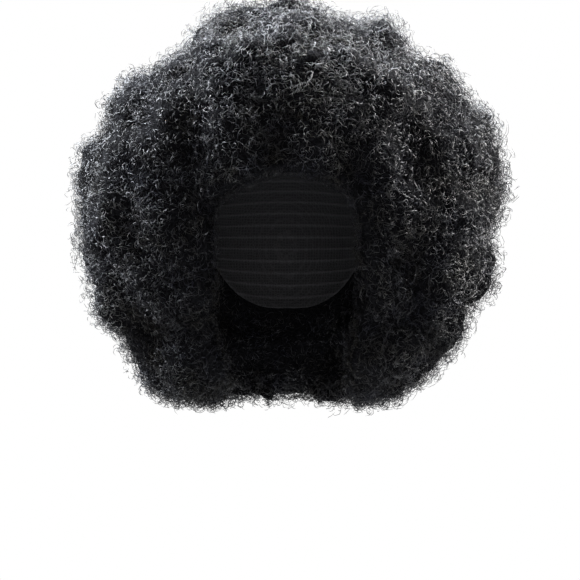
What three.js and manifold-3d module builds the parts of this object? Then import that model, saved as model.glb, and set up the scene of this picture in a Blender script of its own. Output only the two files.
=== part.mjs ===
// An afro wig. A close cap fits the head and leaves the face, ears and neck free.
// Kinky hair stands out from the cap all round, in the six sections that a wig
// is sewn in, and each section has the rounded locks of its outer form.
import * as THREE from "three";
import { mergeVertices } from "three/addons/utils/BufferGeometryUtils.js";
import Module from "manifold-3d";

const wasm = await Module();
wasm.setup();

// Sizes are in millimetres and angles in degrees. The origin is inside the cap,
// where its crown sits on the head. +Z is up, the face looks along -Y, and the
// wearer's left is at +X. A turn is measured round the head from the face, positive
// towards +X, and a drop is measured down from the crown.

// The head that the cap fits
const HEAD_WIDTH = 150;
const HEAD_FRONT = 93;
const HEAD_BACK = 96;
const HEAD_RISE = 95; // from the head's widest level up to its crown
const HEAD_UNDER = 112; // how far the skull's curve would reach below that level
const NECK_WIDTH = 112;
const NECK_BACK = 60; // from the crown's vertical line to the back of the neck

// The cap and its hem
const CAP_WALL = 1.6;
const HEM_WALL = 2.6;
const HEM_HEIGHT = 9;
const HEM_FLAT = 0.85; // the share of the hem's height that has its full thickness

// Facets round the head, round the neck and the cuts, and along a curved edge
const HEAD_COLUMNS = 40;
const ROUND_SIDES = 32;
const CURVE_STEPS = 6;

// The hair's outer form, to the tips of its locks
const HAIR_WIDTH = 400;
const HAIR_FRONT = 155;
const HAIR_BACK = 194;
const HAIR_ABOVE = 129; // from the crown of the head up to the top of the hair
const HAIR_BELOW = 247; // from the crown of the head down to the lowest locks
const WIDEST_BELOW = 48; // from the crown of the head down to the widest level

// The opening for the face
const FACE_WIDTH = 124;
const FACE_TOP = 41; // from the crown down to the front hairline
const FACE_SHOULDER = 46; // height of the rounded corners under the hairline
const FACE_SQUARE = 0.62; // how square those corners are, from 0.45 to 1
const JAW_LEVEL = 160; // from the crown down to where the opening starts to narrow
const NECK_LEVEL = 203; // from the crown down to the opening's narrowest level
const NECK_INSET = 3; // how far the hair closes in on the neck at each side there
const FLARE_WIDTH = 190; // how wide the opening has grown at the lowest locks

// The locks
const LOCK_COUNT = 320;
const LOCK_WIDTH = 62;
const LOCK_SPREAD = 0.4; // how much wider the widest lock is than the narrowest
const LOCK_PROUD = 17; // how far a lock's tip stands out of the backing hair
const LOCK_UNEVEN = 5; // how far one tip falls short of another
const LOCK_SWAY_ANGLE = 9; // how far a lock strays round the head from an even spread
const SURFACE_DETAIL = 18; // how many times each edge of the starting ball is cut

// Steps that share no rhythm: the fractions of a lock's number times each of them
// look random, and are the same every time.
const WANDER = { turn: 0.7549, radius: 0.5698, short: 0.6823 };

const SEWN_GAP = 0.3; // between the cap and the hair, and between two sections

// Where the six sections part from each other: the crown's and the nape's drops, and
// the turns at which the front meets the sides and the sides meet the back
const CROWN_ANGLE = 42;
const FRONT_ANGLE = 48;
const BACK_ANGLE = 125;
const NAPE_ANGLE = 108;

// The edge of the cap: it clears the face, dips in front of the ears, rises behind
// them and drops to the nape.
const CAP_EDGE = [
  { turn: 0, drop: 53 },
  { turn: 25, drop: 54 },
  { turn: 45, drop: 60 },
  { turn: 57, drop: 70 },
  { turn: 70, drop: 93 },
  { turn: 82, drop: 105 },
  { turn: 96, drop: 98 },
  { turn: 112, drop: 98 },
  { turn: 135, drop: 114 },
  { turn: 158, drop: 122 },
  { turn: 180, drop: 123 },
];

// The hair's outline on each side of the head, as shares of an ellipsoid with the
// sizes above. The left and right columns are the photographed front view's.
const OUTLINE = [
  { drop: 0, left: 1, right: 1, front: 1, back: 1 },
  { drop: 9, left: 0.985, right: 1, front: 1, back: 1 },
  { drop: 18, left: 0.94, right: 0.995, front: 0.985, back: 0.99 },
  { drop: 28, left: 0.965, right: 0.92, front: 0.97, back: 0.98 },
  { drop: 36, left: 0.93, right: 0.885, front: 0.97, back: 0.98 },
  { drop: 52, left: 0.96, right: 0.94, front: 1, back: 0.99 },
  { drop: 70, left: 1.005, right: 0.96, front: 1, back: 1 },
  { drop: 90, left: 1, right: 1, front: 0.98, back: 1 },
  { drop: 110, left: 1.01, right: 1.02, front: 0.94, back: 1.03 },
  { drop: 130, left: 1.045, right: 1.08, front: 0.93, back: 1.09 },
  { drop: 142, left: 1.09, right: 1.14, front: 0.98, back: 1.14 },
  { drop: 150, left: 1.11, right: 1.15, front: 1, back: 1.14 },
  { drop: 165, left: 1.04, right: 1.04, front: 0.99, back: 1.03 },
  { drop: 180, left: 0.94, right: 0.94, front: 0.94, back: 0.94 },
];

const FULL_TURN = 360;
const HALF_TURN = 180;
const GOLDEN_ANGLE = HALF_TURN * (3 - Math.sqrt(5));

// Reads a column of a table at a place between its rows, on a smooth curve.
function readTable(table, key, at, column) {
  const last = table.length - 2;
  const row = Math.min(last, table.slice(1).findIndex((r) => at <= r[key]));
  const i = row < 0 ? last : row;
  const [before, from, to, after] = [i - 1, i, i + 1, i + 2].map(
    (k) => table[Math.min(Math.max(k, 0), table.length - 1)],
  );
  const t = (at - from[key]) / (to[key] - from[key]);
  const slope = (a, b) =>
    ((b[column] - a[column]) / (b[key] - a[key])) * (to[key] - from[key]);
  const [start, end] = [slope(before, to), slope(from, after)];
  const rise = to[column] - from[column];
  return (
    from[column] +
    start * t +
    (3 * rise - 2 * start - end) * t * t +
    (start + end - 2 * rise) * t * t * t
  );
}

function direction(turn, drop) {
  const [t, d] = [turn, drop].map(THREE.MathUtils.degToRad);
  return new THREE.Vector3(
    Math.sin(d) * Math.sin(t),
    -Math.sin(d) * Math.cos(t),
    Math.cos(d),
  );
}

// The point of the head's own form at a turn and drop, grown outwards by a wall.
function headPoint(turn, drop, grow) {
  const d = direction(turn, drop);
  return new THREE.Vector3(
    d.x * (HEAD_WIDTH / 2 + grow),
    d.y * ((d.y < 0 ? HEAD_FRONT : HEAD_BACK) + grow),
    d.z * ((d.z < 0 ? HEAD_UNDER : HEAD_RISE) + grow) - HEAD_RISE,
  );
}

// The point of the hair's outer form at a turn and drop, or a depth under it.
function hairPoint(turn, drop, depth = 0) {
  const d = direction(turn, drop);
  const [side, face] = [
    d.x < 0 ? "right" : "left",
    d.y < 0 ? "front" : "back",
  ].map((column) => readTable(OUTLINE, "drop", drop, column));
  const turned = THREE.MathUtils.degToRad(turn);
  const share = 1 / Math.hypot(Math.sin(turned) / side, Math.cos(turned) / face);
  const up = d.z < 0 ? HAIR_BELOW - WIDEST_BELOW : HAIR_ABOVE + WIDEST_BELOW;
  return new THREE.Vector3(
    d.x * (share * (HAIR_WIDTH / 2) - depth),
    d.y * (share * (d.y < 0 ? HAIR_FRONT : HAIR_BACK) - depth),
    d.z * (share * up - depth) - WIDEST_BELOW,
  );
}

// A closed body through rings of points, each with as many. The first and last
// rings are single points, and the rings run outwards and down, then back inside.
function loft(rings) {
  const columns = rings[1].length;
  const start = (r) => (r === 0 ? 0 : 1 + (r - 1) * columns);
  const faces = [];
  for (let c = 0; c < columns; c++) {
    const next = (c + 1) % columns;
    faces.push(0, start(1) + c, start(1) + next);
    for (let r = 1; r < rings.length - 2; r++) {
      const [a, b] = [start(r) + c, start(r) + next];
      const [below, belowNext] = [start(r + 1) + c, start(r + 1) + next];
      faces.push(a, below, b, b, below, belowNext);
    }
    const final = rings.length - 2;
    faces.push(start(final) + c, start(final + 1), start(final) + next);
  }
  return new THREE.BufferGeometry()
    .setFromPoints(rings.flat())
    .setIndex(faces);
}

// Rings over the head from under the crown to the cap's edge, and on to the drop
// beyond it. The first rings end where the hem starts.
const CROWN_SHARES = [0.14, 0.3, 0.48, 0.66, 0.84, 1];
const BEYOND_SHARES = [0, 0.3, 0.6, 0.85];

function edgeDrop(turn) {
  const fromFace = turn > HALF_TURN ? FULL_TURN - turn : turn;
  return readTable(CAP_EDGE, "turn", fromFace, "drop");
}

function headRing(dropAt, grow) {
  return Array.from({ length: HEAD_COLUMNS }, (_, column) => {
    const turn = (FULL_TURN * column) / HEAD_COLUMNS;
    return headPoint(turn, dropAt(edgeDrop(turn)), grow);
  });
}

function crownRings(grow) {
  const hemDrop = THREE.MathUtils.radToDeg(HEM_HEIGHT / HEAD_FRONT);
  return CROWN_SHARES.map((share) =>
    headRing((edge) => (edge - hemDrop) * share, grow),
  );
}

function beyondRings(grow) {
  return BEYOND_SHARES.map((share) =>
    headRing((edge) => edge + (HALF_TURN - edge) * share, grow),
  );
}

function toSolid(geometry) {
  const bare = geometry.clone();
  bare.deleteAttribute("normal");
  bare.deleteAttribute("uv");
  const merged = mergeVertices(bare, 1e-4);
  return new wasm.Manifold(
    new wasm.Mesh({
      numProp: 3,
      vertProperties: merged.attributes.position.array,
      triVerts: new Uint32Array(merged.index.array),
    }),
  );
}

function toGeometry(solid) {
  const mesh = solid.getMesh();
  return new THREE.BufferGeometry()
    .setAttribute("position", new THREE.BufferAttribute(mesh.vertProperties, 3))
    .setIndex(new THREE.BufferAttribute(mesh.triVerts, 1));
}

// The cap's wall from its crown down to the edge, with a thicker hem round it.
function capGeometry() {
  const atEdge = (edge) => edge;
  const hemDrop = THREE.MathUtils.radToDeg(HEM_HEIGHT / HEAD_FRONT);
  const inside = CAP_WALL - HEM_WALL;
  return loft([
    [headPoint(0, 0, CAP_WALL)],
    ...crownRings(CAP_WALL),
    headRing(atEdge, CAP_WALL),
    headRing(atEdge, inside),
    headRing((edge) => edge - hemDrop * HEM_FLAT, inside),
    ...crownRings(0).reverse(),
    [headPoint(0, 0, 0)],
  ]);
}

// The rounded locks, spread evenly over the hair: where each tip is, its radius and
// how far it falls short of the hair's outer form.
function lockTips() {
  return Array.from({ length: LOCK_COUNT }, (_, number) => {
    const wander = (key) => (number * WANDER[key]) % 1;
    const level = 1 - (2 * (number + 0.5)) / LOCK_COUNT;
    const turn = number * GOLDEN_ANGLE + LOCK_SWAY_ANGLE * wander("turn");
    return {
      tip: hairPoint(turn, THREE.MathUtils.radToDeg(Math.acos(level))),
      radius: (LOCK_WIDTH / 2) * (1 + LOCK_SPREAD * (wander("radius") - 0.5)),
      short: LOCK_UNEVEN * wander("short"),
    };
  });
}

// All the hair without its hollow: a backing with a dome for each lock fused to it,
// so that the surface follows the highest dome at every point.
function hairBody() {
  const locks = lockTips();
  const form = new THREE.IcosahedronGeometry(1, SURFACE_DETAIL);
  const place = form.getAttribute("position");
  const at = new THREE.Vector3();
  for (let i = 0; i < place.count; i++) {
    at.fromBufferAttribute(place, i).normalize();
    const drop = THREE.MathUtils.radToDeg(Math.acos(at.z));
    const turn = THREE.MathUtils.radToDeg(Math.atan2(at.x, -at.y));
    const outer = hairPoint(turn, drop);
    const heights = locks.map(({ tip, radius, short }) => {
      const away = Math.min(tip.distanceTo(outer) / radius, 1);
      return (LOCK_PROUD - short) * (1 - away * away);
    });
    const depth = LOCK_PROUD - Math.max(0, ...heights);
    place.setXYZ(i, ...hairPoint(turn, drop, depth));
  }
  return toSolid(form);
}

// The face opening's outline, seen from the front.
function faceShape() {
  const half = FACE_WIDTH / 2;
  const neck = NECK_WIDTH / 2 - NECK_INSET;
  const foot = -HAIR_BELOW - LOCK_WIDTH;
  const shoulder = -FACE_TOP - FACE_SHOULDER;
  const shape = new THREE.Shape();
  shape.moveTo(0, -FACE_TOP);
  shape.bezierCurveTo(
    half * FACE_SQUARE, -FACE_TOP,
    half, shoulder + FACE_SHOULDER * FACE_SQUARE,
    half, shoulder,
  );
  shape.lineTo(half, -JAW_LEVEL);
  shape.quadraticCurveTo(half, -(JAW_LEVEL + NECK_LEVEL) / 2, neck, -NECK_LEVEL);
  shape.quadraticCurveTo(neck, -HAIR_BELOW, FLARE_WIDTH / 2, foot);
  shape.lineTo(-FLARE_WIDTH / 2, foot);
  shape.quadraticCurveTo(-neck, -HAIR_BELOW, -neck, -NECK_LEVEL);
  shape.quadraticCurveTo(-half, -(JAW_LEVEL + NECK_LEVEL) / 2, -half, -JAW_LEVEL);
  shape.lineTo(-half, shoulder);
  shape.bezierCurveTo(
    -half, shoulder + FACE_SHOULDER * FACE_SQUARE,
    -half * FACE_SQUARE, -FACE_TOP,
    0, -FACE_TOP,
  );
  return shape;
}

// What the hair leaves free: the capped head, the face and the neck.
function hollow() {
  const grow = CAP_WALL + SEWN_GAP;
  const head = loft([
    [headPoint(0, 0, grow)],
    ...crownRings(grow),
    ...beyondRings(grow),
    [headPoint(0, HALF_TURN, grow)],
  ]);
  const face = new THREE.ExtrudeGeometry(faceShape(), {
    depth: HAIR_FRONT + LOCK_WIDTH,
    bevelEnabled: false,
    curveSegments: CURVE_STEPS,
  }).rotateX(Math.PI / 2);
  const foot = HAIR_BELOW + LOCK_WIDTH;
  const neck = new THREE.CylinderGeometry(
    NECK_WIDTH / 2, NECK_WIDTH / 2, foot - HEAD_RISE, ROUND_SIDES,
  )
    .rotateX(Math.PI / 2)
    .scale(1, NECK_BACK / (NECK_WIDTH / 2), 1)
    .translate(0, 0, -(foot + HEAD_RISE) / 2);
  return [head, face, neck].map(toSolid).reduce((all, one) => all.add(one));
}

// A cone with its point at the middle of the head, opening up or down to a drop,
// and drawn back from its neighbour by a gap.
function cone(drop, gap) {
  const up = drop < HALF_TURN / 2;
  const angle = THREE.MathUtils.degToRad(up ? drop : HALF_TURN - drop);
  const height = HAIR_ABOVE + HAIR_BELOW;
  const away = gap / Math.sin(angle);
  const form = new THREE.ConeGeometry(height * Math.tan(angle), height, ROUND_SIDES)
    .rotateX(-Math.PI / 2)
    .translate(0, 0, height / 2 + away)
    .rotateX(up ? 0 : Math.PI)
    .translate(0, 0, -HEAD_RISE);
  return toSolid(form);
}

// The part of a solid between two turns, less half a gap at each.
function between(solid, from, to) {
  const normal = (turn) => direction(turn + HALF_TURN / 2, HALF_TURN / 2);
  return solid
    .trimByPlane(normal(from).toArray(), SEWN_GAP / 2)
    .trimByPlane(normal(to).negate().toArray(), SEWN_GAP / 2);
}

function hairSections() {
  const hair = hairBody().subtract(hollow());
  const round = hair.subtract(cone(CROWN_ANGLE, 0));
  const back = between(round, BACK_ANGLE, FULL_TURN - BACK_ANGLE);
  return {
    hair_crown: hair.intersect(cone(CROWN_ANGLE, SEWN_GAP)),
    hair_front: between(round, -FRONT_ANGLE, FRONT_ANGLE),
    hair_left: between(round, FRONT_ANGLE, BACK_ANGLE),
    hair_right: between(round, -BACK_ANGLE, -FRONT_ANGLE),
    hair_back: back.subtract(cone(NAPE_ANGLE, 0)),
    hair_nape: back.intersect(cone(NAPE_ANGLE, SEWN_GAP)),
  };
}

const wig = new THREE.Group();

function add(name, geometry, material) {
  const mesh = new THREE.Mesh(geometry, material);
  mesh.name = name;
  wig.add(mesh);
}

const netCloth = new THREE.MeshStandardMaterial({
  color: 0x17161a,
  roughness: 0.9,
  metalness: 0,
});
const kinkyFibre = new THREE.MeshStandardMaterial({
  color: 0x1b1a20,
  roughness: 0.55,
  metalness: 0,
});

add("cap", capGeometry(), netCloth);
for (const [name, solid] of Object.entries(hairSections())) {
  add(name, toGeometry(solid), kinkyFibre);
}

export default wig;
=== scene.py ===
# %% [markdown]
# # An afro wig
# A close net cap carries a round mass of kinky black fibre. The cap and the six sewn
# sections of hair come packed, at their real size. Here they get their looks: a dark,
# lumpy inside of packed hair, thousands of fine curls over it, and a cap of net cloth.

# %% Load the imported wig
import math

import bpy
import numpy as np
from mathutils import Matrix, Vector
from mathutils.bvhtree import BVHTree


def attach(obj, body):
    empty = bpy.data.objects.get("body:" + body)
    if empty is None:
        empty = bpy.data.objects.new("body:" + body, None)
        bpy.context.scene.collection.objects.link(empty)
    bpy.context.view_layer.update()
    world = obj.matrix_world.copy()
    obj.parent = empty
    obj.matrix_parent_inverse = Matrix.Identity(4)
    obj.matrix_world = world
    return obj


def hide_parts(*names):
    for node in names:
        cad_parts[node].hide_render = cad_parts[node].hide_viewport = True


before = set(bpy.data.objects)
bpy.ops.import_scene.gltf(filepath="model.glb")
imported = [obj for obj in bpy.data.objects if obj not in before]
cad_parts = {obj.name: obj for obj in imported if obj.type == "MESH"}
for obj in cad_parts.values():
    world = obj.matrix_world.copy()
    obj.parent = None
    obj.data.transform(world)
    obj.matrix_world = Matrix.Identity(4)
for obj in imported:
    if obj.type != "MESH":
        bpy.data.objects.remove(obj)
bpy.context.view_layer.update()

MM = 0.001
HAIR_NODES = sorted(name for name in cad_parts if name.startswith("hair_"))
print("hair sections:", HAIR_NODES)

# %% [markdown]
# ## Working on one piece at a time
# Blender's operators act on all that is selected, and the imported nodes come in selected.
# So each step starts by selecting one piece alone. A modifier is a step that can be
# undone, and applying it writes its result into the mesh.

# %% Select, and apply modifiers


def work_on(piece):
    if bpy.context.object and bpy.context.object.mode != "OBJECT":
        bpy.ops.object.mode_set(mode="OBJECT")
    bpy.ops.object.select_all(action="DESELECT")
    piece.select_set(True)
    bpy.context.view_layer.objects.active = piece


def apply(piece, kind, **settings):
    work_on(piece)
    modifier = piece.modifiers.new(kind.title(), kind)
    for name, value in settings.items():
        setattr(modifier, name, value)
    bpy.ops.object.modifier_apply(modifier=modifier.name)


def triangle_count(piece):
    return sum(len(face.vertices) - 2 for face in piece.data.polygons)


# %% [markdown]
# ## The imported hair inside
# Behind the curls that show, an afro is so dense that it reads as one soft, dark body.
# It could be filled with fibres too, but no eye would see them. So it starts as a copy of
# the six sections, each swollen a little so that the seams between them close, and a
# voxel remesh makes them one skin of even small faces.

# %% Join the sections into one skin
SEAM_FILL = 0.4 * MM
VOXEL = 3.4 * MM
WELD = 0.01 * MM  # points closer than this become one


def packed_copy(node, name):
    copy = bpy.data.objects.new(name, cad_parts[node].data.copy())
    bpy.context.scene.collection.objects.link(copy)
    work_on(copy)
    bpy.ops.object.mode_set(mode="EDIT")
    bpy.ops.mesh.select_all(action="SELECT")
    bpy.ops.mesh.remove_doubles(threshold=WELD)
    bpy.ops.object.mode_set(mode="OBJECT")
    return copy


def join_sections():
    sections = [packed_copy(node, "section") for node in HAIR_NODES]
    for section in sections:
        apply(section, "DISPLACE", strength=SEAM_FILL, mid_level=0)
    work_on(sections[0])
    for section in sections:
        section.select_set(True)
    bpy.ops.object.join()
    mass = sections[0]
    mass.name = "hair_mass"
    apply(mass, "REMESH", mode="VOXEL", voxel_size=VOXEL)
    return mass


hair_mass = join_sections()
print("hair mass:", len(hair_mass.data.vertices), "points")

# %% [markdown]
# A remesh can leave loose crumbs inside where a seam was. Only the largest connected
# part is kept.

# %% Keep the skin, drop the crumbs


def keep_largest_part(piece):
    work_on(piece)
    bpy.ops.object.mode_set(mode="EDIT")
    bpy.ops.mesh.select_all(action="SELECT")
    bpy.ops.mesh.separate(type="LOOSE")
    bpy.ops.object.mode_set(mode="OBJECT")
    parts = list(bpy.context.selected_objects)
    largest = max(parts, key=lambda part: len(part.data.vertices))
    name = piece.name
    for part in parts:
        if part is not largest:
            bpy.data.objects.remove(part)
    largest.name = name
    return largest, len(parts) - 1


hair_mass, crumbs = keep_largest_part(hair_mass)
print("crumbs removed:", crumbs)

# %% [markdown]
# ## Room for the curls
# The curls stand in the outer layer of the hair, so the mass draws back under them. Where
# it lies against the cap it has to stay, or a gap would open behind the hem, and beside
# the face it draws back less, so that the opening keeps its size. A vertex group holds
# each point's share of the full depth, and a displace modifier reads it.

# %% Measure the room at each point
CURL_DEPTH = 8.5 * MM
CAP_CLEARANCE = 1.2 * MM
CAP_REACH = 24 * MM
FACE_HALF_WIDTH = 62 * MM
FACE_TOP = -41 * MM
FACE_REACH = 30 * MM
FACE_HOLD = 0.5  # how much of the depth is held back at the face opening
HEM_BOTTOM = -248 * MM
HEM_SOFT = 45 * MM  # up to this height above the hem, the lobes stay low
HEM_LOBES = 0.25  # their share of the full height at the hem itself
SHARE_STEPS = 25  # how finely a vertex group tells one share from another


def search_tree(piece):
    return BVHTree.FromPolygons(
        [point.co.copy() for point in piece.data.vertices],
        [tuple(face.vertices) for face in piece.data.polygons],
    )


cap_tree = search_tree(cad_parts["cap"])
skin_tree = search_tree(hair_mass)  # as packed, before it draws back


def cap_distance(places):
    return np.array([cap_tree.find_nearest(Vector(place))[3] for place in places])


def depth_in_skin(places):
    depths = []
    for place in places:
        nearest, normal, _, _ = skin_tree.find_nearest(Vector(place))
        depths.append((nearest - Vector(place)).dot(normal))
    return np.array(depths)


def near_face(places):
    """1 beside the face opening, and less with the distance from it."""
    x, y, z = places.T
    beside = np.hypot(
        np.maximum(np.abs(x) - FACE_HALF_WIDTH, 0), np.maximum(z - FACE_TOP, 0)
    )
    return (1 - np.clip(beside / FACE_REACH, 0, 1)) * (y < 0)


def room_share(places):
    free = np.clip(cap_distance(places) / CAP_REACH, 0, 1)
    return free * (1 - FACE_HOLD * near_face(places))


def lobe_share(places):
    above_hem = (places[:, 2] - HEM_BOTTOM) / HEM_SOFT
    return room_share(places) * np.clip(above_hem, HEM_LOBES, 1)


def point_array(piece):
    flat = np.empty(len(piece.data.vertices) * 3)
    piece.data.vertices.foreach_get("co", flat)
    return flat.reshape(-1, 3)


def mark(piece, name, share):
    shares = share(point_array(piece))
    group = piece.vertex_groups.new(name=name)
    for step in range(SHARE_STEPS + 1):
        members = np.flatnonzero(np.round(shares * SHARE_STEPS) == step)
        group.add(members.tolist(), step / SHARE_STEPS, "REPLACE")


mark(hair_mass, "room", room_share)

# %% [markdown]
# The mass is drawn back in small steps, each followed by some smoothing, because one long
# step would fold the skin over itself in the creases.

# %% Draw the mass back
DRAW_STEPS = 3

apply(hair_mass, "DISPLACE", strength=-CAP_CLEARANCE, mid_level=0)
for step in range(DRAW_STEPS):
    drawn = (CAP_CLEARANCE - CURL_DEPTH) / DRAW_STEPS
    apply(hair_mass, "DISPLACE", strength=drawn, mid_level=0, vertex_group="room")
    apply(hair_mass, "SMOOTH", factor=0.5, iterations=2, vertex_group="room")

# %% [markdown]
# The largest lobes of the outline are placed one by one, as a stylist teases them out with
# a pick. Each row pushes the hair out round one angle, counted clockwise from the top as
# seen from the front, or in where the height is negative. The push fades with the angle
# and with the distance in front of or behind the middle of the hair.

# %% Tease out the lobes of the outline
OUTLINE_MIDDLE = (0, -71 * MM)
FULL_PUSH_FROM = 150 * MM  # nearer the middle than this, the push gets weaker
OUTLINE_LOBES = [
    {"angle": -128, "height": -9, "width": 7, "depth": 60},
    {"angle": -92, "height": 7, "width": 4, "depth": 50},
    {"angle": -84, "height": -9, "width": 4, "depth": 50},
    {"angle": -72, "height": 3, "width": 5, "depth": 50},
    {"angle": -63, "height": -16, "width": 5, "depth": 70},
    {"angle": -51, "height": 5, "width": 5, "depth": 50},
    {"angle": -40, "height": -5, "width": 4, "depth": 50},
    {"angle": -30, "height": -5, "width": 5, "depth": 50},
    {"angle": -19, "height": 4, "width": 6, "depth": 50},
    {"angle": 16, "height": 11, "width": 4, "depth": 50},
    {"angle": 28, "height": 15, "width": 6, "depth": 50},
    {"angle": 48, "height": 8, "width": 5, "depth": 50},
    {"angle": 58, "height": -7, "width": 5, "depth": 60},
    {"angle": 65, "height": 7, "width": 4, "depth": 45},
    {"angle": 71, "height": -7, "width": 3.5, "depth": 45},
    {"angle": 81, "height": 14, "width": 6, "depth": 50},
    {"angle": 94, "height": -4, "width": 4, "depth": 50},
    {"angle": 102, "height": 8, "width": 4, "depth": 50},
    {"angle": 111, "height": 6, "width": 5, "depth": 50},
    {"angle": 127, "height": 7, "width": 5, "depth": 60},
]


def tease(piece):
    points = point_array(piece)
    x, y, z = points.T
    across, above = x - OUTLINE_MIDDLE[0], z - OUTLINE_MIDDLE[1]
    away = np.hypot(across, above)
    turn = np.degrees(np.arctan2(across, above))
    push = np.zeros(len(points))
    for lobe in OUTLINE_LOBES:
        beside = (turn - lobe["angle"]) / lobe["width"]
        behind = y / (lobe["depth"] * MM)
        push += lobe["height"] * MM * np.exp(-(beside**2) - behind**2)
    push *= room_share(points) * np.clip(away / FULL_PUSH_FROM, 0, 1)
    points[:, 0] += push * across / away
    points[:, 2] += push * above / away
    piece.data.vertices.foreach_set("co", points.ravel())
    piece.data.update()
    print("furthest push in mm:", round(np.abs(push).max() / MM, 1))


tease(hair_mass)

# %% [markdown]
# An afro isn't a smooth ball: its fibres gather in rounded lobes about as wide as two
# fingers, with creases between them. A Voronoi texture makes them. Its value is lowest at
# the middle of a cell, so with a negative strength the middles swell and the borders sink.
# At the hem, where the hair ends in an even fringe, the lobes stay low. Last, noise finer
# than the mesh ruffles every point, so that no smooth edge shows between the curls.

# %% Swell the lobes, then ruffle the skin
LOBE_SIZE = 40 * MM
LOBE_HEIGHT = 28 * MM
LOBE_MIDDLE = 0.27
TUFT_SIZE = 12 * MM
TUFT_HEIGHT = 5 * MM
FINAL_VOXEL = 5.2 * MM
RUFFLE_SIZE = 3 * MM
RUFFLE_HEIGHT = 8 * MM


def swell(piece, name, kind, size, height, middle, group="room", **settings):
    texture = bpy.data.textures.new(name, kind)
    texture.noise_scale = size
    for setting, value in settings.items():
        setattr(texture, setting, value)
    apply(
        piece,
        "DISPLACE",
        texture=texture,
        texture_coords="LOCAL",
        strength=height,
        mid_level=middle,
        vertex_group=group,
    )


mark(hair_mass, "lobes", lobe_share)
swell(
    hair_mass,
    "lobes",
    "VORONOI",
    LOBE_SIZE,
    -LOBE_HEIGHT,
    LOBE_MIDDLE,
    "lobes",
    distance_metric="DISTANCE_SQUARED",
)
swell(hair_mass, "tufts", "CLOUDS", TUFT_SIZE, TUFT_HEIGHT, 0.5, "lobes")
apply(hair_mass, "REMESH", mode="VOXEL", voxel_size=FINAL_VOXEL)
hair_mass, crumbs = keep_largest_part(hair_mass)
hair_mass.vertex_groups.clear()
mark(hair_mass, "room", room_share)
swell(hair_mass, "ruffle", "CLOUDS", RUFFLE_SIZE, RUFFLE_HEIGHT, 0.5)
work_on(hair_mass)
bpy.ops.object.shade_smooth()
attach(hair_mass, "root")
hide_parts(*HAIR_NODES)
print("hair mass:", triangle_count(hair_mass), "triangles, crumbs removed:", crumbs)

# %% [markdown]
# ## Where the curls grow
# Kinky fibres hold together in little bundles that curl side by side. The bundles are
# scattered over the mass at random, but evenly for its area, so that no face of the mesh
# shows. Points against the cap are left out, because the cap hides them, and fewer are
# kept inside, where it is dark. At the hem the bundles stand closer, because light shines
# through the fringe there.

# %% Scatter roots over the mass
SEED = 7
BUNDLES_TRIED = 70000  # over the whole skin
HIDDEN_BY_CAP = 6 * MM
HEAD_MIDDLE = Vector((0, 0, -95 * MM))
INSIDE_SHARE = 0.4  # of the roots that face the head, how many are kept
HEM_LEVEL = -215 * MM  # below this the inside shows as much as the outside
HEM_DENSITY = 1.7  # how much closer the curls stand there, where light shines through

rng = np.random.default_rng(SEED)


def corner_places(piece):
    mesh = piece.data
    mesh.calc_loop_triangles()
    corners = np.empty(len(mesh.loop_triangles) * 3, dtype=np.int64)
    mesh.loop_triangles.foreach_get("vertices", corners)
    return point_array(piece)[corners.reshape(-1, 3)]


def unit(vectors):
    return vectors / np.maximum(np.linalg.norm(vectors, axis=-1, keepdims=True), 1e-12)


def scatter_roots(piece, count):
    triangles = corner_places(piece)
    across = np.cross(
        triangles[:, 1] - triangles[:, 0],
        triangles[:, 2] - triangles[:, 0],
    )
    weight = np.linalg.norm(across, axis=1)
    weight[triangles[:, :, 2].max(axis=1) < HEM_LEVEL] *= HEM_DENSITY
    chosen = rng.choice(len(weight), size=count, p=weight / weight.sum())
    share = np.sqrt(rng.random((count, 1)))
    along = rng.random((count, 1))
    first, second, third = (triangles[chosen, corner] for corner in range(3))
    places = (1 - share) * first + share * ((1 - along) * second + along * third)
    return places, unit(across[chosen])


roots, outwards = scatter_roots(hair_mass, BUNDLES_TRIED)
faces_head = (outwards * (roots - np.array(HEAD_MIDDLE))).sum(axis=1) < 0
inside = faces_head & (roots[:, 2] > HEM_LEVEL)
kept = ~inside | (rng.random(len(roots)) < INSIDE_SHARE)
kept &= cap_distance(roots) > HIDDEN_BY_CAP
roots, outwards = roots[kept], outwards[kept]
rooms = room_share(roots) * CURL_DEPTH
depths = depth_in_skin(roots)
print("bundles:", len(roots), "mean depth in mm:", round(depths.mean() / MM, 1))

# %% [markdown]
# ## The shape of one curl
# Kinky fibre is a coil that has been pulled apart, so a curl is a stretch of a helix.
# Most of what shows is kinks and crimps: short arches, whose two ends dip back among the
# others. Loops and sweeps are bundles that curl side by side, coils turn further round,
# and wisps stand out over the outline. Fluff lies lowest and hides the edge of the mass.
#
# Each kind in the table has its share of the bundles, the number of fibres in one, the
# gap between them, the radius of the ring, its turns, its run along the ring's axis, how
# upright that axis stands on the skin, the part of the hair's depth that it starts from,
# its thickness and the straight stretches that it is drawn with. Lengths are in
# millimetres. The rings are a little looser at the wearer's left than at the right, and
# more of the curls start low than high, so that the outline thins out softly.

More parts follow.
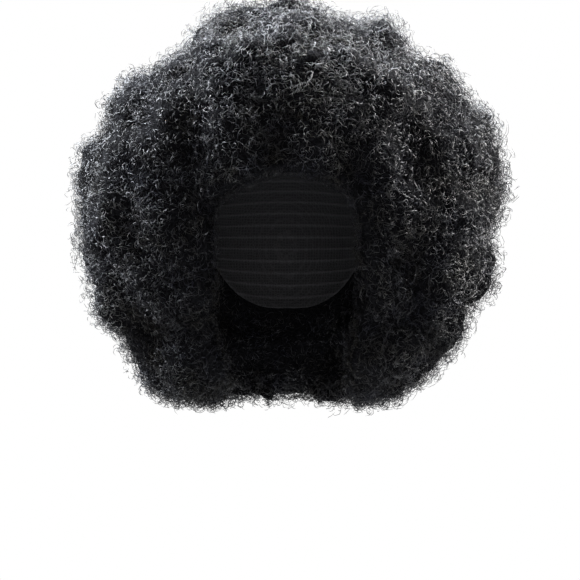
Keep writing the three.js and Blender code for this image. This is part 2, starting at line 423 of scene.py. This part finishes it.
# %% The kinds of curl
CURL_KINDS = [
    {"name": "kink", "share": 0.27, "fibres": 1, "gap": 1.8, "ring": (2.2, 4.8),
     "turns": (0.35, 0.75), "run": (0.5, 5), "upright": 0.3, "start": (0.1, 1.45),
     "radius": 0.25, "stretches": 4},
    {"name": "crimp", "share": 0.24, "fibres": 1, "gap": 1.8, "ring": (1.7, 3.4),
     "turns": (0.3, 0.5), "run": (0.5, 4), "upright": 0.3, "start": (0.1, 1.3),
     "radius": 0.26, "stretches": 3},
    {"name": "loop", "share": 0.05, "fibres": 2, "gap": 1.9, "ring": (3.2, 6),
     "turns": (0.35, 0.65), "run": (0.5, 4), "upright": 0.25, "start": (0.1, 1.3),
     "radius": 0.27, "stretches": 5},
    {"name": "coil", "share": 0.03, "fibres": 1, "gap": 1.2, "ring": (1.4, 2.5),
     "turns": (1.1, 1.6), "run": (5, 11), "upright": 0.5, "start": (0.2, 1.2),
     "radius": 0.28, "stretches": 7},
    {"name": "wisp", "share": 0.175, "fibres": 1, "gap": 1.6, "ring": (2.6, 5.4),
     "turns": (0.35, 0.6), "run": (2, 7), "upright": 0.7, "start": (0.3, 1.7),
     "radius": 0.22, "stretches": 3},
    {"name": "sweep", "share": 0.015, "fibres": 2, "gap": 2.4, "ring": (7, 11),
     "turns": (0.2, 0.35), "run": (1, 4), "upright": 0.2, "start": (0.1, 0.5),
     "radius": 0.2, "stretches": 6},
    {"name": "fluff", "share": 0.22, "fibres": 1, "gap": 1.8, "ring": (3, 5.5),
     "turns": (0.2, 0.35), "run": (1, 6), "upright": 0.5, "start": (0, 0.9),
     "radius": 0.44, "stretches": 2},
]
TIP_SHARE = 0.35  # a tip's radius as a share of the middle's
CLUMP_SIZE = 30 * MM  # over what distance neighbouring bundles turn another way
CLUMP_PULL = 0.8  # how strongly neighbours agree, against 1 for their own direction
RING_STEP = 0.6  # the share of the gap by which the next fibre's ring is wider
RUN_STEP = 0.7  # the share of the gap by which the next fibre is moved along
OWN_SIZE = 0.1  # how far a fibre's size may stray from its bundle's
OWN_TURN = 0.5  # how far it is turned round the ring, in radians
OWN_LIFT = 0.4  # how unevenly the rings of a bundle stand up
BUNDLE_SHADE = 0.6  # how much of a fibre's shade it shares with its bundle
CRIMP = 0.15 * MM  # the small kinks along a fibre
THINNING = 2.1  # above 1, more of the curls start low than high
# Painted shade on the curls' gloss: their coat weight fades with the depth under the
# imported skin, and beside the face.
PAINTED_LIGHT_DEPTH = 14 * MM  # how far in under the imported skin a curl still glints
PAINTED_FACE_SHADE = 0.65  # how much of the glint is lost beside the face
LOOSER_SIDE = 0.18  # how much larger the rings are at the wearer's left, and smaller right
HALF_WIDTH = 200 * MM


def clump_direction(places):
    """A direction that turns slowly from place to place, along uneven waves."""
    wave = places * (2 * math.pi / CLUMP_SIZE)
    x, y, z = wave.T
    return unit(
        np.stack(
            [
                np.sin(y + 0.7 * z) + 0.6 * np.sin(0.6 * x + 2.1),
                np.sin(z + 0.8 * x + 1.3) + 0.6 * np.sin(0.7 * y + 0.4),
                np.sin(x + 0.6 * y + 4.1) + 0.6 * np.sin(0.5 * z + 5.2),
            ],
            axis=1,
        )
    )


def bundle_frame(kind, places, outward):
    """Each bundle's axis, and the two directions across it that its rings lie in."""
    count = len(places)
    own = unit(rng.normal(size=(count, 3))) + CLUMP_PULL * clump_direction(places)
    axis = unit(kind["upright"] * outward + (1 - kind["upright"]) * unit(own))
    lifted = outward + OWN_LIFT * rng.normal(size=(count, 3))
    lifted -= (lifted * axis).sum(axis=1, keepdims=True) * axis
    up = unit(lifted)
    side = np.cross(axis, up) * rng.choice([-1, 1], size=(count, 1))
    return axis, up, side


def curl_paths(kind, places, outward, room):
    """The points along every fibre of the bundles, as (fibre, point, xyz)."""
    fibres = kind["fibres"]
    count = len(places)
    rank = np.tile(np.arange(fibres) - (fibres - 1) / 2, count)[:, None, None]
    sideways = np.clip(places[:, 0] / HALF_WIDTH, -1, 1)
    frame_parts = (*bundle_frame(kind, places, outward), places, outward)
    axis, up, side, places, outward = (
        np.repeat(part, fibres, axis=0)[:, None, :] for part in frame_parts
    )

    def each(key):
        drawn = rng.uniform(*kind[key], size=count)
        own = 1 + OWN_SIZE * rng.uniform(-1, 1, size=count * fibres)
        return (np.repeat(drawn, fibres) * own)[:, None, None]

    along = np.linspace(-0.5, 0.5, kind["stretches"] + 1)[None, :, None]
    looseness = np.repeat(1 + LOOSER_SIDE * sideways, fibres)[:, None, None]
    ring = (each("ring") * looseness + RING_STEP * kind["gap"] * rank) * MM
    turned = 2 * math.pi * (each("turns") * along)
    turned = turned + OWN_TURN * rng.normal(size=rank.shape)
    run = each("run") * MM * along + RUN_STEP * kind["gap"] * MM * rank
    lowest, highest = kind["start"]
    start = lowest + (highest - lowest) * rng.random((count, 1, 1)) ** THINNING
    lift = np.repeat(start * room[:, None, None], fibres, axis=0)
    middle = places + outward * lift
    crimp = CRIMP * rng.normal(size=(*run.shape[:2], 3))
    paths = middle + axis * run + ring * (up * np.cos(turned) + side * np.sin(turned))
    return paths + crimp, axis


# %% [markdown]
# Each curl is drawn as a thin tube with three sides that ends in a point at both ends, so
# its skin is closed. All the tubes of one kind are worked out at once as arrays, because
# thousands of separate objects would be slow.

# %% Tubes round many paths at once
SIDES = 3


def tube_points(paths, axis, radius):
    forward = unit(np.gradient(paths, axis=1))
    first = unit(np.cross(forward, axis + 0.01))
    second = np.cross(forward, first)
    along = np.abs(np.linspace(-1, 1, paths.shape[1]))[None, :, None, None]
    width = radius * (1 - (1 - TIP_SHARE) * along**2)
    angles = np.arange(SIDES) * (2 * math.pi / SIDES)
    round_it = (
        first[:, :, None, :] * np.cos(angles)[:, None]
        + second[:, :, None, :] * np.sin(angles)[:, None]
    )
    rings = paths[:, :, None, :] + width * round_it
    middle = rings[:, 1:-1].reshape(len(paths), -1, 3)
    return np.concatenate([paths[:, :1], middle, paths[:, -1:]], axis=1)


def tube_values(values):
    """The values along the paths, given to the points of their tubes."""
    middle = np.repeat(values[:, 1:-1], SIDES, axis=1)
    return np.concatenate([values[:, :1], middle, values[:, -1:]], axis=1)


def tube_faces(stretches):
    """One tube's triangles as point numbers, and where their corners lie in its field."""
    tip = 1 + (stretches - 1) * SIDES
    faces = []
    fields = []
    for side in range(SIDES):
        here = [1 + ring * SIDES + side for ring in range(stretches - 1)]
        after = [1 + ring * SIDES + (side + 1) % SIDES for ring in range(stretches - 1)]
        faces.append((0, after[0], here[0]))
        fields.append(((side + 0.5, 0), (side + 1, 1), (side, 1)))
        for ring in range(stretches - 2):
            low, high = ring + 1, ring + 2
            faces.append((here[ring], after[ring], after[ring + 1]))
            fields.append(((side, low), (side + 1, low), (side + 1, high)))
            faces.append((here[ring], after[ring + 1], here[ring + 1]))
            fields.append(((side, low), (side + 1, high), (side, high)))
        faces.append((here[-1], after[-1], tip))
        fields.append(
            ((side, stretches - 1), (side + 1, stretches - 1), (side + 0.5, stretches))
        )
    return np.array(faces), np.array(fields) / (SIDES, stretches)


def painted_light_share(paths, places, outward, depth):
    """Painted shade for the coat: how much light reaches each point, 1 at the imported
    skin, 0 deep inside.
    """
    fibres = len(paths) // len(places)
    places, outward, depth = (
        np.repeat(part, fibres, axis=0) for part in (places, outward, depth)
    )
    above = ((paths - places[:, None]) * outward[:, None]).sum(axis=2)
    # painted shade: the coat is weaker beside the face
    face_painted_shade = 1 - PAINTED_FACE_SHADE * near_face(places)[:, None]
    return face_painted_shade * np.clip(1 - (depth[:, None] - above) / PAINTED_LIGHT_DEPTH, 0, 1)


def curl_arrays(kind, places, outward, room, depth):
    paths, axis = curl_paths(kind, places, outward, room)
    points = tube_points(paths, axis, kind["radius"] * MM)
    count, each = points.shape[:2]
    faces, fields = tube_faces(kind["stretches"])
    numbers = faces[None] + (np.arange(count) * each)[:, None, None]
    bundle_shade = np.repeat(rng.random(len(places)), kind["fibres"])
    shade = BUNDLE_SHADE * bundle_shade + (1 - BUNDLE_SHADE) * rng.random(count)
    return {
        "points": points.reshape(-1, 3),
        "faces": numbers.reshape(-1, 3),
        "shade": np.repeat(shade, each),
        "painted_light": tube_values(painted_light_share(paths, places, outward, depth)).ravel(),
        "fields": np.broadcast_to(fields, (count, *fields.shape)),
    }


# %% [markdown]
# ## Six sections of curls
# A wig is sewn section by section, and the curls are kept that way: each section is one
# mesh. Turn and drop, the angles round the head and down from its crown, tell which
# section a root belongs to. Every curl gets its own small field of the UV map, in rows
# like stamps on a sheet, so that its colour can be baked onto it.

# %% Sort the roots into sections
CROWN_ANGLE = 42
FRONT_ANGLE = 48
BACK_ANGLE = 125
NAPE_ANGLE = 108
FIELD_INSET = 0.06


def section_of(places):
    x, y, z = (places - np.array(HEAD_MIDDLE)).T
    drop = np.degrees(np.arctan2(np.hypot(x, y), z))
    turn = np.degrees(np.arctan2(x, -y))
    return np.select(
        [
            drop < CROWN_ANGLE,
            np.abs(turn) < FRONT_ANGLE,
            (np.abs(turn) > BACK_ANGLE) & (drop < NAPE_ANGLE),
            np.abs(turn) > BACK_ANGLE,
            turn > 0,
        ],
        ["crown", "front", "back", "nape", "left"],
        "right",
    )


def bake_fields(parts):
    """Each corner's place in the UV map, with one field of a square sheet to a curl."""
    count = sum(len(part["fields"]) for part in parts)
    across = math.ceil(math.sqrt(count))
    corners = []
    first = 0
    for part in parts:
        number = first + np.arange(len(part["fields"]))
        first += len(number)
        column_row = np.stack([number % across, number // across], axis=1)
        inside = FIELD_INSET + (1 - 2 * FIELD_INSET) * part["fields"]
        corners.append((column_row[:, None, None, :] + inside).reshape(-1, 2) / across)
    return np.concatenate(corners)


def add_mesh(piece_name, parts):
    starts = np.cumsum([0] + [len(part["points"]) for part in parts[:-1]])
    points = np.concatenate([part["points"] for part in parts])
    faces = np.concatenate([part["faces"] + start for part, start in zip(parts, starts)])
    mesh = bpy.data.meshes.new(piece_name)
    mesh.vertices.add(len(points))
    mesh.vertices.foreach_set("co", points.astype(np.float32).ravel())
    mesh.loops.add(faces.size)
    mesh.loops.foreach_set("vertex_index", faces.astype(np.int32).ravel())
    mesh.polygons.add(len(faces))
    mesh.polygons.foreach_set(
        "loop_start", np.arange(0, faces.size, 3, dtype=np.int32)
    )
    mesh.update(calc_edges=True)
    uv_map = mesh.uv_layers.new(name="OFBake")
    uv_map.uv.foreach_set("vector", bake_fields(parts).astype(np.float32).ravel())
    for name in ("shade", "painted_light"):
        values = np.concatenate([part[name] for part in parts])
        attribute = mesh.attributes.new(name, "FLOAT", "POINT")
        attribute.data.foreach_set("value", values.astype(np.float32))
    mesh.validate()
    piece = bpy.data.objects.new(piece_name, mesh)
    bpy.context.scene.collection.objects.link(piece)
    return piece


def add_section(section):
    mine = np.flatnonzero(sections == section)
    bounds = np.cumsum([kind["share"] for kind in CURL_KINDS[:-1]])
    which = np.searchsorted(bounds, rng.random(len(mine)))
    parts = []
    for number, kind in enumerate(CURL_KINDS):
        own = mine[which == number]
        where = (values[own] for values in (roots, outwards, rooms, depths))
        parts.append(curl_arrays(kind, *where))
    piece = add_mesh("curls_" + section, parts)
    work_on(piece)
    bpy.ops.object.shade_smooth()
    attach(piece, "root")
    print(piece.name, "bundles:", len(mine), "triangles:", triangle_count(piece))
    return piece


sections = section_of(roots)
curl_pieces = [
    add_section(section)
    for section in ("crown", "front", "left", "right", "back", "nape")
]

# %% [markdown]
# ## The cap
# The cap is a close-fitting shell of net with a thicker hem, and its packed form is
# right but faceted. A copy of it is turned back into four-sided faces and subdivided, which
# rounds it and keeps its size.

# %% Smooth the cap


def smooth_cap():
    cap = packed_copy("cap", "net_cap")
    bpy.ops.object.mode_set(mode="EDIT")
    bpy.ops.mesh.select_all(action="SELECT")
    bpy.ops.mesh.tris_convert_to_quads()
    bpy.ops.object.mode_set(mode="OBJECT")
    apply(cap, "SUBSURF", levels=2, render_levels=2)
    work_on(cap)
    bpy.ops.object.shade_smooth()
    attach(cap, "root")
    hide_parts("cap")
    return cap


net_cap = smooth_cap()
print("net cap:", triangle_count(net_cap), "triangles")

# %% [markdown]
# ## Words for shaders
# A material is a tree of nodes, and sums are easier to read as Python. Value wraps one
# number of the tree, so that plus, minus and times on it add Math nodes. Finish holds the
# tree, and its one method adds any other node.

# %% Value and Finish


class Value:
    def __init__(self, finish, socket):
        self.finish = finish
        self.socket = socket

    def math(self, operation, *operands):
        numbers = dict(enumerate(operands))
        node = self.finish.node("Math", {"operation": operation}, numbers)
        return Value(self.finish, node.outputs[0])

    def __add__(self, other):
        return self.math("ADD", self, other)

    def __sub__(self, other):
        return self.math("SUBTRACT", self, other)

    def __rsub__(self, other):
        return self.math("SUBTRACT", other, self)

    def __mul__(self, other):
        return self.math("MULTIPLY", self, other)

    def __pow__(self, other):
        return self.math("POWER", self, other)

    __radd__ = __add__
    __rmul__ = __mul__

    def sine(self):
        return self.math("SINE", self)

    def clamp(self):
        return self.math("MINIMUM", self.math("MAXIMUM", self, 0), 1)


class Finish:
    def __init__(self, name):
        self.material = bpy.data.materials.new(name)
        self.material.use_nodes = True
        self.tree = self.material.node_tree
        self.shader = self.tree.nodes["Principled BSDF"]

    def feed(self, socket, value):
        if isinstance(value, Value):
            value = value.socket
        if isinstance(value, bpy.types.NodeSocket):
            self.tree.links.new(value, socket)
        else:
            socket.default_value = value

    def node(self, kind, settings=(), inputs=()):
        made = self.tree.nodes.new("ShaderNode" + kind)
        for name, value in dict(settings).items():
            setattr(made, name, value)
        for name, value in dict(inputs).items():
            self.feed(made.inputs[name], value)
        return made

    def value(self, kind, settings=(), inputs=(), output=0):
        return Value(self, self.node(kind, settings, inputs).outputs[output])

    def place(self):
        return self.node("TexCoord").outputs["Object"]

    def noise(self, scale, place=None, detail=2):
        inputs = {"Vector": place or self.place(), "Scale": scale, "Detail": detail}
        return self.value("TexNoise", inputs=inputs)

    def colour_mix(self, share, low, high):
        inputs = {"Factor": share, 6: (*low, 1), 7: (*high, 1)}
        node = self.node("Mix", {"data_type": "RGBA"}, inputs)
        return node.outputs[2]

    def shade(self, **inputs):
        for name, value in inputs.items():
            self.feed(self.shader.inputs[name.replace("_", " ")], value)

    def bump(self, height, distance, strength):
        inputs = {"Height": height, "Distance": distance, "Strength": strength}
        self.shade(Normal=self.node("Bump", inputs=inputs).outputs["Normal"])


# %% [markdown]
# ## Black kinky fibre
# The fibre is black, and yet no two curls look the same black: some lean to blue, some to
# brown. Each curl has a random shade of its own, and slow noise tints whole patches. What
# the eye sees first, though, is glints. A clear coat stands for the gloss, and its weight
# is painted shade: it is high on the outermost curls and low in the creases and beside the
# face, where little light comes in, and it differs from curl to curl. It is rather rough,
# which stretches each glint along the arch of its fibre.

# %% The fibre of the curls
BLUE_BLACK = (0.003, 0.004, 0.013)
BROWN_BLACK = (0.012, 0.01, 0.004)
TINT_SCALE = 28
PATCH_CONTRAST = 2.4
PATCH_SHIFT = 0.7
PATCH_SHARE = 0.6  # how much of the tint comes from the patches
LEAST_GLOSS = 0.3  # what the dullest lit curl has
LEAST_ROUGHNESS = 0.35
ROUGHNESS_SPREAD = 0.15


def fibre_finish():
    finish = Finish("kinky_fibre")
    shade = finish.value("Attribute", {"attribute_name": "shade"}, output="Fac")
    painted_light = finish.value("Attribute", {"attribute_name": "painted_light"}, output="Fac")
    patch = (finish.noise(TINT_SCALE) * PATCH_CONTRAST - PATCH_SHIFT).clamp()
    share = (patch * PATCH_SHARE + shade * (1 - PATCH_SHARE)).clamp()
    # painted shade: the gloss follows the painted light share
    painted_shade_gloss = painted_light * (shade + LEAST_GLOSS)
    finish.shade(
        Base_Color=finish.colour_mix(share, BLUE_BLACK, BROWN_BLACK),
        Roughness=shade * ROUGHNESS_SPREAD + LEAST_ROUGHNESS,
        Coat_Weight=painted_shade_gloss.clamp(),
        Specular_IOR_Level=0.15,
        Coat_Roughness=0.45,
    )
    return finish.material


curl_fibre = fibre_finish()
for piece in curl_pieces:
    piece.data.materials.append(curl_fibre)

# %% [markdown]
# The mass behind the curls shows only between them. Its black is painted shade, darker
# than the curls' fibre because the curls shade it. Its fibres are drawn by the material
# alone: rings round the cells of a Voronoi pattern, bent by noise, look like curls that
# lie on each other, and the rings are lighter, as painted glints on lit fibres.

# %% The fibre of the mass
CELL_SCALE = 95
RINGS = 22
BEND = 0.006
BEND_SCALE = 130
# Painted shade and glints: the mass is darker than the curls, which shade it, and its rings
# are lighter, as lit fibres.
PAINTED_SHADE_BLACK = (0.0024, 0.0024, 0.003)
PAINTED_GLINT_FIBRE = (0.009, 0.009, 0.0102)
RING_SHARPNESS = 3  # a higher power makes a thinner line
SECOND_LAYER = 0.3  # how far aside the second layer of rings is taken from
LINE_STRENGTH = 0.6
FIBRE_RELIEF = 1.2 * MM


def curled_lines(finish, scale, shift):
    moved = finish.node(
        "VectorMath",
        {"operation": "ADD"},
        {0: finish.place(), 1: (shift, -shift, shift)},
    ).outputs[0]
    swirl = finish.node(
        "TexNoise", inputs={"Vector": moved, "Scale": BEND_SCALE}
    ).outputs["Color"]
    bent = finish.node(
        "VectorMath",
        {"operation": "MULTIPLY_ADD"},
        {0: swirl, 1: (BEND, BEND, BEND), 2: moved},
    ).outputs[0]
    cells = finish.value("TexVoronoi", inputs={"Vector": bent, "Scale": scale})
    return ((cells * RINGS).sine() * 0.5 + 0.5) ** RING_SHARPNESS


def mass_finish():
    finish = Finish("packed_fibre_painted_shade")
    lines = curled_lines(finish, CELL_SCALE, 0)
    lines = lines + curled_lines(finish, CELL_SCALE, SECOND_LAYER)
    lines = (lines * LINE_STRENGTH).clamp()
    # painted shade between the rings, painted glints on them
    tint = finish.colour_mix(lines, PAINTED_SHADE_BLACK, PAINTED_GLINT_FIBRE)
    finish.shade(Base_Color=tint, Roughness=0.9, Specular_IOR_Level=0.04)
    finish.bump(lines, FIBRE_RELIEF, 0.8)
    return finish.material


hair_mass.data.materials.clear()
hair_mass.data.materials.append(mass_finish())

# %% [markdown]
# ## Net cloth
# The cap is knitted net, with the rows of sewn hair showing inside it as level ribs about
# a finger apart. Both are far too fine to model, so the bump draws them. The ribs follow
# the head: they are rings at even angles down from the crown.

# %% The net of the cap
MESH_SIZE = 2.6 * MM
RIB_EVERY = math.radians(7)
RIB_SHARPNESS = 6
NET_SHADOW = (0.008, 0.008, 0.009)
NET_THREAD = (0.05, 0.047, 0.052)
THREAD_WIDTH = 5  # a higher number makes thinner threads
THREAD_HEIGHT = 0.4  # against 1 for a rib
RIB_TINT = 0.5
NET_RELIEF = 1.2 * MM


def net_finish():
    finish = Finish("net_cloth")
    holes = finish.value(
        "TexVoronoi",
        {"feature": "DISTANCE_TO_EDGE"},
        {"Vector": finish.place(), "Scale": 1 / MESH_SIZE, "Randomness": 0.35},
    )
    threads = 1 - (holes * THREAD_WIDTH).clamp()
    away = finish.node(
        "VectorMath",
        {"operation": "SUBTRACT"},
        {0: finish.place(), 1: tuple(HEAD_MIDDLE)},
    ).outputs[0]
    level = finish.node(
        "VectorMath", {"operation": "NORMALIZE"}, {0: away}
    ).outputs[0]
    height = finish.value("SeparateXYZ", inputs={0: level}, output="Z")
    drop = finish.value("Math", {"operation": "ARCCOSINE"}, {0: height})
    ribs = ((drop * (2 * math.pi / RIB_EVERY)).sine() * 0.5 + 0.5) ** RIB_SHARPNESS
    raised = (threads * THREAD_HEIGHT + ribs * RIB_TINT).clamp()
    tint = finish.colour_mix(raised, NET_SHADOW, NET_THREAD)
    finish.shade(Base_Color=tint, Roughness=0.85)
    finish.bump(threads * THREAD_HEIGHT + ribs, NET_RELIEF, 0.7)
    return finish.material


net_cap.data.materials.clear()
net_cap.data.materials.append(net_finish())

# %% [markdown]
# ## The studio
# The floor is plain and pale, and large soft lights stand at both sides and above. Floor
# and background are white where the camera sees them, and dimmer as lights, so that the
# black hair isn't washed out. The floor lies far below, which leaves room to look up into
# the cap.

# %% Floor and background
FLOOR_LEVEL = -2.6
FLOOR_SIZE = 14
FLOOR_GLOW = 1
BACKDROP_LIGHT = 0.31
PALE = (0.85, 0.85, 0.85)
WHITE = (1, 1, 1)


def add_floor():
    bpy.ops.object.select_all(action="DESELECT")
    bpy.ops.mesh.primitive_plane_add(size=FLOOR_SIZE, location=(0, 0, FLOOR_LEVEL))
    floor = bpy.context.object
    floor.name = "floor"
    finish = Finish("pale_floor")
    finish.shade(Base_Color=(*PALE, 1), Roughness=0.9)
    glow = finish.node("Emission", inputs={"Strength": FLOOR_GLOW})
    seen = finish.value("LightPath", output="Is Camera Ray")
    mixed = finish.node(
        "MixShader",
        inputs={0: seen, 1: finish.shader.outputs[0], 2: glow.outputs[0]},
    )
    result = finish.tree.nodes["Material Output"].inputs["Surface"]
    finish.feed(result, mixed.outputs[0])
    floor.data.materials.append(finish.material)


def set_background():
    world = bpy.data.worlds.new("studio")
    world.use_nodes = True
    nodes, links = world.node_tree.nodes, world.node_tree.links
    shown = nodes["Background"]
    shown.inputs["Color"].default_value = (*WHITE, 1)
    lights = nodes.new("ShaderNodeBackground")
    lights.inputs["Color"].default_value = (*WHITE, 1)
    lights.inputs["Strength"].default_value = BACKDROP_LIGHT
    mix = nodes.new("ShaderNodeMixShader")
    ray = nodes.new("ShaderNodeLightPath")
    links.new(ray.outputs["Is Camera Ray"], mix.inputs[0])
    links.new(lights.outputs[0], mix.inputs[1])
    links.new(shown.outputs[0], mix.inputs[2])
    links.new(mix.outputs[0], nodes["World Output"].inputs[0])
    bpy.context.scene.world = world


add_floor()
set_background()
bpy.context.scene.view_settings.view_transform = "Standard"

# %% Soft lights
WIG_MIDDLE = Vector((0, 0.02, -0.06))
COOL = (0.88, 0.93, 1)
LIGHTS = [
    {"name": "key", "place": (1.2, 0.35, 0.9), "size": 0.9, "power": 140, "tint": WHITE},
    {"name": "side", "place": (-1.2, 0.35, 0.85), "size": 0.9, "power": 172, "tint": COOL},
    {"name": "top", "place": (0, 0.95, 1.25), "size": 1, "power": 86, "tint": COOL},
    {"name": "front", "place": (0.1, -2.3, 0.2), "size": 1, "power": 10, "tint": WHITE},
]


def add_light(light):
    data = bpy.data.lights.new(light["name"], "AREA")
    data.shape = "DISK"
    data.size = light["size"]
    data.energy = light["power"]
    data.color = light["tint"]
    lamp = bpy.data.objects.new(light["name"], data)
    lamp.location = light["place"]
    aim = WIG_MIDDLE - lamp.location
    lamp.rotation_euler = aim.to_track_quat("-Z", "Y").to_euler()
    bpy.context.scene.collection.objects.link(lamp)


for light in LIGHTS:
    add_light(light)

# %% [markdown]
# ## The camera
# The photo is taken from straight in front, about 1.7 m away and a little below the crown.
# A pixel is 0.905 mm wide at the hair's widest plane, and the origin of the wig, where the
# cap rests on the crown of the head, is at pixel (286.5, 137).

# %% Place the camera
PHOTO_SIDE = 580
PIXEL = 0.905 * MM
CROWN_PIXEL = (286.5, 137)
CAMERA_AWAY = 1.7
WIDEST_PLANE = 0.01


def add_camera():
    data = bpy.data.cameras.new("camera")
    camera = bpy.data.objects.new("camera", data)
    across = (PHOTO_SIDE / 2 - CROWN_PIXEL[0]) * PIXEL
    down = (PHOTO_SIDE / 2 - CROWN_PIXEL[1]) * PIXEL
    camera.location = (across, -CAMERA_AWAY, -down)
    camera.rotation_euler = (math.radians(90), 0, 0)
    seen = PHOTO_SIDE * PIXEL
    data.lens = data.sensor_width * (CAMERA_AWAY + WIDEST_PLANE) / seen
    bpy.context.scene.collection.objects.link(camera)
    bpy.context.scene.camera = camera
    print("lens in mm:", round(data.lens))


add_camera()
